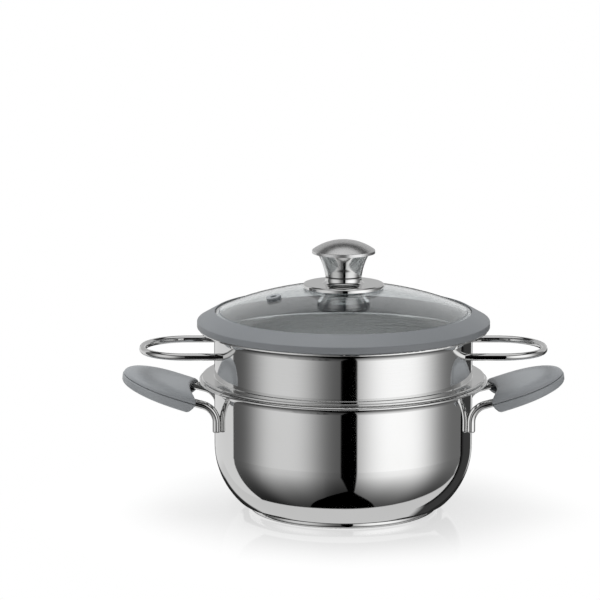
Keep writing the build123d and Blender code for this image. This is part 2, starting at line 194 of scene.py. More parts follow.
def mapped(tree, value, low, high, to_low=0.0, to_high=1.0, smooth=False):
    """A Map Range node from low..high to to_low..to_high."""
    node = tree.nodes.new("ShaderNodeMapRange")
    node.interpolation_type = "SMOOTHSTEP" if smooth else "LINEAR"
    tree.links.new(value, node.inputs["Value"])
    node.inputs["From Min"].default_value = low
    node.inputs["From Max"].default_value = high
    node.inputs["To Min"].default_value = to_low
    node.inputs["To Max"].default_value = to_high
    return node.outputs["Result"]


def object_axes(tree):
    """The x, y and z of a point of the piece, in metres in the frame."""
    place = tree.nodes.new("ShaderNodeTexCoord")
    split = tree.nodes.new("ShaderNodeSeparateXYZ")
    tree.links.new(place.outputs["Object"], split.inputs[0])
    return split.outputs


def off_axis(tree, axes):
    """How far a point is from the pot's axis."""
    square_x = math_of(tree, "MULTIPLY", axes["X"], axes["X"])
    square_y = math_of(tree, "MULTIPLY", axes["Y"], axes["Y"])
    return math_of(tree, "SQRT", math_of(tree, "ADD", square_x, square_y))


def outward(tree, axes, radius):
    """1 on the outer face of a spun wall and on its underside, 0 on the inner face."""
    place = tree.nodes.new("ShaderNodeTexCoord")
    split = tree.nodes.new("ShaderNodeSeparateXYZ")
    tree.links.new(place.outputs["Normal"], split.inputs[0])
    along_x = math_of(tree, "MULTIPLY", split.outputs["X"], axes["X"])
    along_y = math_of(tree, "MULTIPLY", split.outputs["Y"], axes["Y"])
    along = math_of(tree, "ADD", along_x, along_y)
    radial = math_of(tree, "DIVIDE", along, math_of(tree, "MAXIMUM", radius, NEAR_AXIS))
    facing = math_of(tree, "SUBTRACT", radial, split.outputs["Z"])
    return mapped(tree, facing, -FACE_BLEND, FACE_BLEND)


def noise(tree, scale, detail=2.0, stretch=(1, 1, 1)):
    """A Noise Texture over the piece, with its space stretched per axis."""
    place = tree.nodes.new("ShaderNodeTexCoord")
    stretcher = tree.nodes.new("ShaderNodeMapping")
    stretcher.inputs["Scale"].default_value = stretch
    tree.links.new(place.outputs["Object"], stretcher.inputs["Vector"])
    texture = tree.nodes.new("ShaderNodeTexNoise")
    texture.inputs["Scale"].default_value = scale
    texture.inputs["Detail"].default_value = detail
    tree.links.new(stretcher.outputs["Vector"], texture.inputs["Vector"])
    return texture.outputs["Fac"]


def linear(level):
    """The linear value of a screen value of 0 to 255."""
    share = level / 255
    return share / 12.92 if share <= 0.04045 else ((share + 0.055) / 1.055) ** 2.4


def tinted(red, green, blue):
    """A colour from screen values of 0 to 255, with full alpha."""
    return (linear(red), linear(green), linear(blue), 1)


def two_colours(tree, factor, colours):
    """A colour between two, by a factor."""
    mix = tree.nodes.new("ShaderNodeMix")
    mix.data_type = "RGBA"
    tree.links.new(factor, mix.inputs[0])
    mix.inputs[6].default_value = tinted(*colours[0])
    mix.inputs[7].default_value = tinted(*colours[1])
    return mix.outputs[2]


def join_metal(tree, shader, colour, roughness):
    """Make the shader a metal with this colour and roughness."""
    shader.inputs["Metallic"].default_value = 1.0
    tree.links.new(colour, shader.inputs["Base Color"])
    tree.links.new(roughness, shader.inputs["Roughness"])


def brush_round(tree, shader, anisotropic):
    """Stretch the shader's gloss as brushing round the pot's axis does."""
    tangent = tree.nodes.new("ShaderNodeTangent")
    tangent.direction_type = "RADIAL"
    tangent.axis = "Z"
    tree.links.new(tangent.outputs[0], shader.inputs["Tangent"])
    shader.inputs["Anisotropic"].default_value = anisotropic


# Materials


def round_edge_normal(tree, shader, axes, radius, roll_radius, roll_height, roll):
    """An exact normal for a rolled edge about Z, whose roll has this middle and size."""
    across = math_of(tree, "SUBTRACT", radius, roll_radius)
    upward = math_of(tree, "SUBTRACT", axes["Z"], roll_height)
    steady = math_of(tree, "MAXIMUM", radius, NEAR_AXIS)
    out_x = math_of(tree, "MULTIPLY", math_of(tree, "DIVIDE", axes["X"], steady), across)
    out_y = math_of(tree, "MULTIPLY", math_of(tree, "DIVIDE", axes["Y"], steady), across)
    exact = tree.nodes.new("ShaderNodeCombineXYZ")
    tree.links.new(out_x, exact.inputs[0])
    tree.links.new(out_y, exact.inputs[1])
    tree.links.new(upward, exact.inputs[2])
    square = math_of(tree, "MULTIPLY", across, across)
    square_up = math_of(tree, "MULTIPLY", upward, upward)
    reach = math_of(tree, "SQRT", math_of(tree, "ADD", square, square_up))
    outer_face = math_of(tree, "GREATER_THAN", reach, roll - STEEL_SHEET / 2)
    outside = math_of(tree, "GREATER_THAN", across, 0.0)
    above = math_of(tree, "GREATER_THAN", upward, 0.0)
    chosen = math_of(tree, "MULTIPLY", math_of(tree, "MULTIPLY", outer_face, outside), above)
    plain = tree.nodes.new("ShaderNodeNewGeometry")
    mix = tree.nodes.new("ShaderNodeMix")
    mix.data_type = "VECTOR"
    tree.links.new(chosen, mix.inputs[0])
    tree.links.new(plain.outputs["Normal"], mix.inputs[4])
    unit = tree.nodes.new("ShaderNodeVectorMath")
    unit.operation = "NORMALIZE"
    tree.links.new(exact.outputs[0], unit.inputs[0])
    tree.links.new(unit.outputs[0], mix.inputs[5])
    tree.links.new(mix.outputs[1], shader.inputs["Normal"])


def mirror_steel(name, inner_radius=None):
    """Polished stainless steel with the faintest haze; satin inside a radius if given."""
    material, tree, shader = new_tree(name)
    haze = noise(tree, HAZE_SCALE)
    colour = two_colours(tree, haze, POLISHED_COLOURS)
    roughness = mapped(tree, haze, *NOISE_SPAN, *POLISHED_ROUGHNESS)
    if inner_radius is not None:
        axes = object_axes(tree)
        radius = off_axis(tree, axes)
        beyond = mapped(tree, radius, inner_radius, inner_radius + STEEL_SHEET / 2)
        outside = math_of(tree, "MAXIMUM", outward(tree, axes, radius), beyond)
        inside = math_of(tree, "SUBTRACT", 1.0, outside)
        lines = noise(tree, BRUSH_SCALE, ROUGH_DETAIL, BRUSH_STRETCH)
        brushed = mapped(tree, lines, *NOISE_SPAN, *BRUSHED_ROUGHNESS)
        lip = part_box("pot_shell")[1]
        roll_radius = lip.x - LIP_ROLL
        round_edge_normal(tree, shader, axes, radius, roll_radius, lip.z - LIP_ROLL, LIP_ROLL)
        gap = math_of(tree, "SUBTRACT", brushed, roughness)
        roughness = math_of(tree, "ADD", roughness, math_of(tree, "MULTIPLY", gap, inside))
    join_metal(tree, shader, colour, roughness)
    return material


def spun_steel(name, low, high, anisotropic):
    """Satin steel brushed round the pot's axis, for the knob's cap and the small parts."""
    material, tree, shader = new_tree(name)
    axes = object_axes(tree)
    radius = off_axis(tree, axes)
    bands = math_of(tree, "SINE", math_of(tree, "MULTIPLY", radius, CAP_LINES))
    blur = noise(tree, BLUR_SCALE)
    grain = math_of(tree, "ADD", math_of(tree, "MULTIPLY", bands, CAP_LINE_SHARE), blur)
    roughness = mapped(tree, grain, *GRAIN_SPAN, low, high)
    colour = two_colours(tree, blur, SPUN_COLOURS)
    join_metal(tree, shader, colour, roughness)
    brush_round(tree, shader, anisotropic)
    return material


def basket_steel(name, bore, floor_height):
    """The basket's steel: satin inside, spun in rings on the floor, polished outside."""
    material, tree, shader = new_tree(name)
    axes = object_axes(tree)
    radius = off_axis(tree, axes)
    beyond = mapped(tree, radius, bore, bore + STEEL_SHEET / 2)
    outside = math_of(tree, "MAXIMUM", outward(tree, axes, radius), beyond)
    rings = math_of(tree, "SINE", math_of(tree, "MULTIPLY", radius, FLOOR_LINES))
    levels = noise(tree, BRUSH_SCALE, ROUGH_DETAIL, BRUSH_STRETCH)
    floor_ends = [floor_height + above for above in FLOOR_BLEND]
    on_floor = mapped(tree, axes["Z"], *floor_ends, 1.0, 0.0)
    rings = math_of(tree, "MULTIPLY", rings, FLOOR_LINE_SHARE)
    ring_part = math_of(tree, "MULTIPLY", rings, on_floor)
    grain = math_of(tree, "ADD", levels, ring_part)
    satin = mapped(tree, grain, *NOISE_SPAN, *SATIN_ROUGHNESS)
    drop = math_of(tree, "MULTIPLY", math_of(tree, "SUBTRACT", satin, POLISHED_OUTSIDE), outside)
    roughness = math_of(tree, "SUBTRACT", satin, drop)
    colour = two_colours(tree, levels, BASKET_COLOURS)
    join_metal(tree, shader, colour, roughness)
    brush_round(tree, shader, BASKET_ANISOTROPY)
    return material


def silicone(name, colours):
    """Matt grey silicone with a very fine skin."""
    material, tree, shader = new_tree(name)
    cloud = noise(tree, CLOUD_SCALE, ROUGH_DETAIL)
    skin = noise(tree, SKIN_SCALE)
    colour = two_colours(tree, cloud, colours)
    roughness = mapped(tree, skin, *SKIN_SPAN, *SILICONE_ROUGHNESS)
    bump = tree.nodes.new("ShaderNodeBump")
    bump.inputs["Strength"].default_value = SKIN_STRENGTH
    bump.inputs["Distance"].default_value = SKIN_DEPTH
    tree.links.new(skin, bump.inputs["Height"])
    tree.links.new(bump.outputs[0], shader.inputs["Normal"])
    tree.links.new(colour, shader.inputs["Base Color"])
    tree.links.new(roughness, shader.inputs["Roughness"])
    shader.inputs["Specular IOR Level"].default_value = SILICONE_SPECULAR
    return material


def lid_glass_material(name):
    """Clear tempered glass that lets the light through to what is under it."""
    material, tree, shader = new_tree(name)
    smear = noise(tree, SMEAR_SCALE)
    roughness = mapped(tree, smear, *NOISE_SPAN, *GLASS_ROUGHNESS)
    colour = two_colours(tree, smear, GLASS_COLOURS)
    tree.links.new(colour, shader.inputs["Base Color"])
    tree.links.new(roughness, shader.inputs["Roughness"])
    shader.inputs["Transmission Weight"].default_value = 1.0
    shader.inputs["IOR"].default_value = GLASS_IOR
    clear = tree.nodes.new("ShaderNodeBsdfTransparent")
    clear.inputs["Color"].default_value = tinted(*GLASS_SHADOW_COLOUR)
    ray = tree.nodes.new("ShaderNodeLightPath")
    pick = tree.nodes.new("ShaderNodeMixShader")
    tree.links.new(ray.outputs["Is Shadow Ray"], pick.inputs[0])
    tree.links.new(shader.outputs[0], pick.inputs[1])
    tree.links.new(clear.outputs[0], pick.inputs[2])
    tree.links.new(pick.outputs[0], tree.nodes["Material Output"].inputs["Surface"])
    return material


# Shape helpers


def add_object(name, mesh, sharp_angle=SHARP_ANGLE):
    """A mesh object in the scene, smooth but for edges sharper than the angle."""
    for face in mesh.polygons:
        face.use_smooth = True
    mesh.set_sharp_from_angle(angle=math.radians(sharp_angle))
    piece = bpy.data.objects.new(name, mesh)
    bpy.context.scene.collection.objects.link(piece)
    return piece


def grid_mesh(name, rows, close_rows, caps=True):
    """A mesh over closed loops of points. The rows may close too, or end in caps."""
    count = len(rows[0])
    points = [point for row in rows for point in row]
    faces = []
    last = len(rows) if close_rows else len(rows) - 1
    for row in range(last):
        after = (row + 1) % len(rows)
        for place in range(count):
            beyond = (place + 1) % count
            faces.append(
                (
                    row * count + place,
                    row * count + beyond,
                    after * count + beyond,
                    after * count + place,
                )
            )
    if caps and not close_rows:
        faces.append(tuple(reversed(range(count))))
        faces.append(tuple(range((len(rows) - 1) * count, len(rows) * count)))
    mesh = bpy.data.meshes.new(name)
    mesh.from_pydata(points, [], faces)
    tidy = bmesh.new()
    tidy.from_mesh(mesh)
    bmesh.ops.remove_doubles(tidy, verts=tidy.verts, dist=MERGE_DISTANCE)
    bmesh.ops.recalc_face_normals(tidy, faces=tidy.faces)
    tidy.to_mesh(mesh)
    tidy.free()
    return mesh


def arc(centre, radius, first, last, steps=ARC_STEPS):
    """Points on an arc, in degrees, both ends included."""
    points = []
    for step in range(steps + 1):
        angle = math.radians(first + (last - first) * step / steps)
        across = centre[0] + radius * math.cos(angle)
        points.append((across, centre[1] + radius * math.sin(angle)))
    return points


def lathe(name, outline, steps=FINE_STEPS):
    """A closed outline of (radius, height) points spun about Z."""
    rows = []
    for radius, height in outline:
        row = []
        for step in range(steps):
            turn = math.tau * step / steps
            row.append((radius * math.cos(turn), radius * math.sin(turn), height))
        rows.append(row)
    return grid_mesh(name, rows, close_rows=True)


# Silicone pieces, in place of the plain ones of the frame


def dome_centre():
    """Height of the middle of the balls that both faces of the glass lie on."""
    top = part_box("lid_glass")[1].z
    return top - math.sqrt(DOME_RADIUS**2 - GLASS_HOLE_RADIUS**2)


def glass_level(radius, depth):
    """Height of the glass at a radius, at a depth under its upper face."""
    return dome_centre() + math.sqrt((DOME_RADIUS - depth) ** 2 - radius**2)


def lid_ring_outline():
    """The ring's section: the lip on the glass, the slope, the side, the seat and the groove."""
    low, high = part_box("lid_ring")
    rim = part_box("basket_shell")[1].z
    outer = high.x
    inner = outer - RING_WIDTH
    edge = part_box("lid_glass")[1].x
    cover = edge - RING_COVER
    lip_base = glass_level(cover, 0) - RING_LIP * RING_LIP_SINK_SHARE
    lip_middle = (cover + RING_LIP, high.z - RING_LIP)
    shoulder = (outer - RING_SHOULDER, rim + RING_SIDE - RING_SHOULDER)
    foot = (outer - RING_FOOT, rim + RING_FOOT)
    locating = (RING_LOCATING - RING_FOOT, low.z + RING_FOOT)
    inside = (inner + RING_FOOT, low.z + RING_FOOT)
    slope_turn = math.degrees(math.atan2(high.z - rim - RING_SIDE, outer - cover))
    outline = [(cover, lip_base)]
    outline += arc(lip_middle, RING_LIP, 180, 90 - slope_turn)
    outline += arc(shoulder, RING_SHOULDER, 90 - slope_turn, 0)
    outline += arc(foot, RING_FOOT, 0, -90)
    outline += [(RING_LOCATING, rim), (RING_LOCATING, low.z + RING_FOOT)]
    outline += arc(locating, RING_FOOT, 0, -90)[1:]
    outline += arc(inside, RING_FOOT, -90, -180)
    outline += [(inner, glass_level(inner, GLASS_THICKNESS))]
    outline += [(edge, glass_level(edge, GLASS_THICKNESS))]
    outline += [(edge, glass_level(edge, 0))]
    return outline


def make_lid_ring(material):
    """The silicone ring of the lid."""
    mesh = lathe("lid_ring_detail", lid_ring_outline())
    piece = add_object("lid_ring_detail", mesh, RING_SHARP_ANGLE)
    piece.data.materials.append(material)
    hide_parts("lid_ring")
    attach(piece, "lid")


def vent_frame():
    """Where the vent sits on the glass, with Z along the eyelet."""
    low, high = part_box("vent_grommet")
    middle = Vector((0, 0, dome_centre()))
    normal = ((low + high) / 2 - middle).normalized()
    place = middle + normal * DOME_RADIUS
    return Matrix.Translation(place) @ normal.to_track_quat("Z", "Y").to_matrix().to_4x4()


def make_vent(material):
    """The eyelet of the vent: a rounded bead on the glass, a neck and an inner flange."""
    under = -GLASS_THICKNESS - VENT_FLANGE
    top = (VENT_HOLE_RADIUS + VENT_BEAD, VENT_FLANGE - VENT_BEAD)
    side = (VENT_RADIUS - VENT_BEAD, VENT_FLANGE - VENT_BEAD)
    outline = arc(top, VENT_BEAD, 180, 90)
    outline += arc(side, VENT_BEAD, 90, 0)
    outline += [(VENT_RADIUS, 0), (VENT_NECK_RADIUS, 0)]
    outline += [(VENT_NECK_RADIUS, -GLASS_THICKNESS), (VENT_RADIUS, -GLASS_THICKNESS)]
    outline += arc((VENT_RADIUS - VENT_BEAD, under + VENT_BEAD), VENT_BEAD, 0, -90)
    outline += arc((VENT_HOLE_RADIUS + VENT_BEAD, under + VENT_BEAD), VENT_BEAD, -90, -180)
    mesh = lathe("vent_detail", outline, VENT_STEPS)
    mesh.transform(vent_frame())
    piece = add_object("vent_detail", mesh)
    piece.data.materials.append(material)
    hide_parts("vent_grommet")
    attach(piece, "lid")


def grip_width(x):
    """Half the width of a grip at a distance from its root, up to the widest place."""
    short = 1 - x / GRIP_WIDEST
    return GRIP_HALF_WIDTH - (GRIP_HALF_WIDTH - GRIP_ROOT_HALF) * short**2


def crown(reach):
    """Height of a grip's upper face, as a share, at a share of the half width."""
    return max(0, 1 - reach**GRIP_CROWN_POWER) ** GRIP_CROWN_BLUNT


def root_edge(y, z):
    """Where the hollow root face is at a place across it, with its edges rounded."""
    side = abs(y) / GRIP_ROOT_HALF
    hollow = GRIP_NOTCH * (1 - side**2)
    below_top = crown(min(side, 1)) * GRIP_TOP[0] - z
    near_top = min(max(1 - below_top / GRIP_CORNER, 0), 1)
    near_side = min(max(1 - (GRIP_ROOT_HALF - abs(y)) / GRIP_CORNER, 0), 1)
    rest = max(0, 1 - near_top**2 - near_side**2)
    return hollow + GRIP_CORNER * (1 - math.sqrt(rest))


def grip_loop(reach, share, lift, ends, scale=1):
    """A closed loop over a grip, at a share of its width and of its local height."""
    end = root_edge(reach * GRIP_ROOT_HALF, share * ends[0] + lift)
    plan = []
    for step in range(-GRIP_STEPS, GRIP_STEPS + 1):
        turn = math.pi / 2 * step / GRIP_STEPS
        x = GRIP_WIDEST + reach * (GRIP_LENGTH - GRIP_WIDEST) * math.cos(turn)
        plan.append((x, reach * GRIP_HALF_WIDTH * math.sin(turn)))
    side = []
    for step in range(1, GRIP_STEPS + 1):
        x = GRIP_WIDEST + (end - GRIP_WIDEST) * step / GRIP_STEPS
        side.append((x, reach * grip_width(x)))
    root = []
    for step in range(1, 2 * GRIP_STEPS):
        y = side[-1][1] * (1 - step / GRIP_STEPS)
        root.append((root_edge(y, share * ends[0] + lift), y))
    plan += side + root + [(x, -y) for x, y in reversed(side)]
    row = []
    for x, y in plan:
        x = GRIP_WIDEST + scale * (x - GRIP_WIDEST)
        height = share * (ends[0] + (ends[1] - ends[0]) * x / GRIP_LENGTH) + lift
        near_root = max(0, 1 - x / GRIP_WIDEST)
        set_back = GRIP_SET_BACK * (height / GRIP_BOTTOM[0]) ** 2 * near_root
        row.append((x + set_back, scale * y, height))
    return row


def grip_rows():
    """Loops of points over a grip: up its lower half, over the crease and the crown."""
    down = (-GRIP_BOTTOM[0], -GRIP_BOTTOM[1])

    def inset(distance):
        return 1 - distance / GRIP_HALF_WIDTH

    rows = []
    for step in range(GRIP_FACE_STEPS):
        scale = inset(GRIP_DRAFT + GRIP_EDGE) * step / GRIP_FACE_STEPS
        rows.append(grip_loop(1, 1, 0, down, scale))
    for step in range(GRIP_EDGE_STEPS + 1):
        turn = math.pi / 2 * step / GRIP_EDGE_STEPS
        edge = GRIP_DRAFT + GRIP_EDGE * (1 - math.sin(turn))
        rows.append(grip_loop(1, 1, GRIP_EDGE * (1 - math.cos(turn)), down, inset(edge)))
    for share in GRIP_SIDE_SHARES:
        level = (GRIP_BOTTOM[0] - GRIP_EDGE) * share + GRIP_CREASE * (1 - share)
        rows.append(grip_loop(1, 0, -level, down, inset(GRIP_DRAFT * share)))
    for depth, level in GRIP_CREASE_SHARES:
        rows.append(grip_loop(1, 0, -level * GRIP_CREASE, down, inset(depth * GRIP_CREASE)))
    start = inset(GRIP_CREASE / 2)
    for step in range(1, GRIP_STEPS + 1):
        turn = math.pi / 2 * step / GRIP_STEPS
        reach = max(0, math.cos(turn)) ** (2 / GRIP_CROWN_POWER)
        if step == GRIP_STEPS:
            reach = 0
        rows.append(grip_loop(start * reach, crown(reach), 0, GRIP_TOP))
    return rows


def pocket_rows():
    """The space for the wire loop inside a grip, open at the root."""
    section = WIRE_RADIUS + POCKET_FIT
    tip_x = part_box("pot_handle_right")[1].x - WIRE_RADIUS
    inward = (tip_x - GRIP_ROOT_X) / math.cos(HANDLE_RISE)
    rows = []
    for out, height in arc((0, 0), section, -90, 90):
        width = LEG_HALF_GAP + out
        corner = LOOP_CORNER + out
        bend = inward + out - corner
        row = [(-POCKET_OVERRUN, -width)]
        row += arc((bend, corner - width), corner, -90, 0, BEND_STEPS)
        row += arc((bend, width - corner), corner, 0, 90, BEND_STEPS)
        row += [(-POCKET_OVERRUN, width)]
        rows.append([(x, y, height) for x, y in row])
    return rows


def handle_place(rise, drop):
    """From axes that start at a grip's root and climb outwards, to the frame."""
    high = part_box("pot_handle_right")[1]
    inward = high.x - WIRE_RADIUS - GRIP_ROOT_X
    level = high.z - WIRE_RADIUS - inward * math.tan(HANDLE_RISE) - drop
    along = Vector((math.cos(rise), 0, math.sin(rise)))
    up = Vector((-math.sin(rise), 0, math.cos(rise)))
    turn = Matrix((along, Vector((0, 1, 0)), up)).transposed().to_4x4()
    return Matrix.Translation((GRIP_ROOT_X, 0, level)) @ turn


def make_grips(material):
    """Both silicone grips, each with its crease and its pocket for the wire."""
    body = grid_mesh("grip", grip_rows(), close_rows=False, caps=False)
    body.transform(handle_place(GRIP_RISE, GRIP_DROP))
    space = grid_mesh("grip_pocket", pocket_rows(), close_rows=False)
    space.transform(handle_place(HANDLE_RISE, 0))
    opposite = Matrix.Rotation(math.pi, 4, "Z")
    for side, turn in (("right", Matrix.Identity(4)), ("left", opposite)):
        mesh = body.copy()
        mesh.transform(turn)
        piece = add_object(f"grip_{side}_detail", mesh, GRIP_SHARP_ANGLE)
        cutter_mesh = space.copy()
        cutter_mesh.transform(turn)
        cutter = bpy.data.objects.new("cutter", cutter_mesh)
        bpy.context.scene.collection.objects.link(cutter)
        cut = piece.modifiers.new("pocket", "BOOLEAN")
        cut.operation = "DIFFERENCE"
        cut.solver = "EXACT"
        cut.object = cutter
        with bpy.context.temp_override(object=piece, active_object=piece):
            bpy.ops.object.modifier_apply(modifier=cut.name)
        bpy.data.objects.remove(cutter)
        piece.data.set_sharp_from_angle(angle=math.radians(GRIP_SHARP_ANGLE))
        piece.data.materials.clear()
        piece.data.materials.append(material)
        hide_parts(f"grip_{side}")
        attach(piece, f"grip_{side}_body")


# Finishes of the frame's own pieces

polished = mirror_steel("polished_steel_finish")
pot_polished = mirror_steel("pot_steel_finish", POT_BORE)
cap_satin = spun_steel("knob_cap_finish", *CAP_ROUGHNESS, CAP_ANISOTROPY)
part_satin = spun_steel("small_part_finish", *PART_ROUGHNESS, 0.0)
floor_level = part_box("basket_shell")[0].z + BASKET_FOOT_DEPTH + BASKET_SHEET
basket_satin = basket_steel("basket_finish", POT_BORE, floor_level)
grey_silicone = silicone("grey_silicone_finish", GRIP_COLOURS)
# Painted shade: the lid ring gets a darker copy of the grey silicone, standing in for the light
# that falls less on it.
shaded_ring_silicone = silicone("shaded_ring_silicone_finish", RING_SHADED_COLOURS)
dark_seal = silicone("dark_seal_finish", SEAL_COLOURS)
clear_glass = lid_glass_material("lid_glass_finish")

finishes = {
    "pot_shell": pot_polished,
    "base_cap": polished,
    "base_core": part_satin,
    "pot_handle_left": polished,
    "pot_handle_right": polished,
    "basket_shell": basket_satin,
    "basket_handle_left": polished,
    "basket_handle_right": polished,
    "lid_glass": clear_glass,
    "knob_cap": cap_satin,
    "knob_body": polished,
    "knob_collar": polished,
    "knob_disc": polished,
    "under_cup": polished,
    "knob_insert": part_satin,
    "knob_screw": part_satin,
    "lock_washer": part_satin,
    "knob_groove_ring": dark_seal,
    "knob_top_seal": dark_seal,
    "knob_bottom_seal": dark_seal,
    "glass_bush": dark_seal,
}
for name, finish in finishes.items():
    for material_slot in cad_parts[name].material_slots:
        material_slot.material = finish

make_lid_ring(shaded_ring_silicone)
make_vent(grey_silicone)
make_grips(grey_silicone)


# Studio that the steel mirrors: turn is azimuth from the camera's side, rise is elevation
WALL_LEVEL = 0.74
LEFT_BOX = {"first": -116, "last": 5.0, "peak_at": -55, "spread": 32, "edge": 0.1, "peak": 0.74}
RIGHT_BOX = {"first": 11.5, "last": 128, "peak_at": 49, "spread": 38, "edge": 0.16, "peak": 1.22}
BOX_SOFT_EDGE = 1.0
BOX_BELL_POWER = 3.0
BOX_FADE_START = -12.5
BOX_FADE_REACH = 25.0
BOX_FADE_POWER = 1.4
RIGHT_BOX_EDGE = (0.75, 0.76)
RIGHT_BOX_FOOT = (-24, -20)

# Dark gap between the boxes. Its left edge moves in on the way down, then both spread.
GAP_LEVEL = 0.0
GAP_LEFT_NARROWS = (-42, -20)
GAP_LEFT_TURNS = (4.0, -3.0)
GAP_LEFT_WIDENS = -42.0
GAP_LEFT_RATE = 2.5
GAP_RIGHT_TURN = 11.5
GAP_RIGHT_WIDENS = -44.0
GAP_RIGHT_POWER = 1.3
GAP_RIGHT_RATE = 0.73
GAP_SOFT_HALF = 0.5

# Pale table round the pot: an oval over the parts of a ray across and toward the camera
TABLE_LEVEL = 0.66
TABLE_LEFT = 0.62
TABLE_RIGHT = 0.735
TABLE_BACK = 0.4
TABLE_REACH = 0.675
TABLE_EDGE = (0.98, 1.02)
TABLE_RISE = (-20, -16)

# Dark stand at the right, and the dark room behind the pot under the horizon
HORIZON = (-4, 4)
ABOVE_TABLE = (-52, -46)
STAND_START = (127.5, 128.5)
STAND_END = (158, 162)
STAND_FADE = (130, 136)
STAND_LEVELS = (0.0, 0.045)
ROOM_RISE = (-22, -14)
ROOM_TURN = (154, 166)
ROOM_EDGE = (0, 4)
ROOM_LEVEL = 0.02

# Backdrop over the horizon, dark ceiling and the ceiling's pale middle
BACKDROP_TURN = (110, 140)
BACKDROP_RISE = (3, 8)
BACKDROP_LEVEL = 0.5
GLOOM_RISE = (34, 40)
GLOOM_LEVEL = 0.03
CEILING_RISE = (54, 60)
CEILING_LEVEL = 0.72

# Plain light on matt surfaces, from the lowest direction to the highest, and what is seen
PLAIN_LEVELS = (0.4, 0.85)
SEEN_LEVEL = 1.0

# The one lamp
KEY_PLACE = (-0.5, 0.6, 2.2)
KEY_AIM = (0, 0, 0.1)
KEY_SIZE = 1.6
KEY_POWER = 54

# White table under the pot
FLOOR_SIDE = 3.0
FLOOR_COLOUR = 0.9
FLOOR_GLOSS = 0.06
FLOOR_IOR = 1.45
MIRROR_RADII = (0.07, 0.2)
SHADOW_RADII = (0.09, 0.26)
SHADOW_WHITENING = (0.86, 1.0)


def below(tree, rise, start):
    """How many degrees a ray is under a rise, or nothing."""
    return math_of(tree, "MAXIMUM", math_of(tree, "SUBTRACT", start, rise), 0.0)


def over(tree, base, level, inside):
    """A level laid over a base where a mask says so."""
    change = math_of(tree, "SUBTRACT", level, base)
    return math_of(tree, "ADD", base, math_of(tree, "MULTIPLY", change, inside))


def softbox(tree, turn, first, last, peak_at, spread, edge, peak):
    """The light of a softbox by azimuth, with one soft hot spot, and the box's mask."""
    away = math_of(tree, "DIVIDE", math_of(tree, "SUBTRACT", turn, peak_at), spread)
    fall = math_of(tree, "POWER", math_of(tree, "ABSOLUTE", away), BOX_BELL_POWER)
    bell = math_of(tree, "EXPONENT", math_of(tree, "MULTIPLY", fall, -1.0))
    light = math_of(tree, "ADD", math_of(tree, "MULTIPLY", bell, peak - edge), edge)
    half = BOX_SOFT_EDGE / 2
    start = mapped(tree, turn, first - half, first + half)
    end = mapped(tree, turn, last - half, last + half, 1.0, 0.0)
    return light, math_of(tree, "MULTIPLY", start, end)


def lay_boxes(tree, level, x, toward_camera, turn, rise):
    """Both softboxes, fading downwards. The right one ends at an upright edge behind."""
    sunk = math_of(tree, "DIVIDE", below(tree, rise, BOX_FADE_START), BOX_FADE_REACH)
    sunk = math_of(tree, "POWER", sunk, BOX_FADE_POWER)
    fade = math_of(tree, "EXPONENT", math_of(tree, "MULTIPLY", sunk, -1.0))
    cut = mapped(tree, x, *RIGHT_BOX_EDGE, 1.0, 0.0)
    cut = math_of(tree, "MULTIPLY", cut, math_of(tree, "LESS_THAN", toward_camera, 0.0))
    cut = math_of(tree, "MULTIPLY", cut, mapped(tree, rise, *RIGHT_BOX_FOOT))
    kept = math_of(tree, "SUBTRACT", 1.0, cut)
    for box, shown in ((LEFT_BOX, 1.0), (RIGHT_BOX, kept)):
        light, inside = softbox(tree, turn, **box)
        light = math_of(tree, "MULTIPLY", light, fade)
        level = over(tree, level, light, math_of(tree, "MULTIPLY", inside, shown))
    return level


def lay_gap(tree, level, turn, rise):
    """The dark gap between the boxes."""
    left = mapped(tree, rise, *GAP_LEFT_NARROWS, *GAP_LEFT_TURNS)
    drop = math_of(tree, "MULTIPLY", below(tree, rise, GAP_LEFT_WIDENS), GAP_LEFT_RATE)
    left = math_of(tree, "SUBTRACT", left, drop)
    right = math_of(tree, "POWER", below(tree, rise, GAP_RIGHT_WIDENS), GAP_RIGHT_POWER)
    right = math_of(tree, "MULTIPLY", right, GAP_RIGHT_RATE)
    right = math_of(tree, "ADD", right, GAP_RIGHT_TURN)
    half = GAP_SOFT_HALF
    start = mapped(tree, math_of(tree, "SUBTRACT", turn, left), -half, half)
    end = mapped(tree, math_of(tree, "SUBTRACT", turn, right), -half, half, 1.0, 0.0)
    return over(tree, level, GAP_LEVEL, math_of(tree, "MULTIPLY", start, end))


def lay_table(tree, level, x, toward_camera, rise):
    """The pale table round the pot's foot."""
    leftward = math_of(tree, "DIVIDE", math_of(tree, "MINIMUM", x, 0.0), TABLE_LEFT)
    rightward = math_of(tree, "DIVIDE", math_of(tree, "MAXIMUM", x, 0.0), TABLE_RIGHT)
    forward = math_of(tree, "MAXIMUM", math_of(tree, "ADD", toward_camera, TABLE_BACK), 0.0)
    forward = math_of(tree, "DIVIDE", forward, TABLE_REACH)
    border = math_of(tree, "POWER", math_of(tree, "ABSOLUTE", leftward), 2.0)
    border = math_of(tree, "ADD", border, math_of(tree, "POWER", rightward, 2.0))
    border = math_of(tree, "ADD", border, math_of(tree, "POWER", forward, 2.0))
    table = mapped(tree, border, *TABLE_EDGE, 1.0, 0.0)
    table = math_of(tree, "MULTIPLY", table, mapped(tree, rise, *TABLE_RISE, 1.0, 0.0))
    return over(tree, level, TABLE_LEVEL, table)


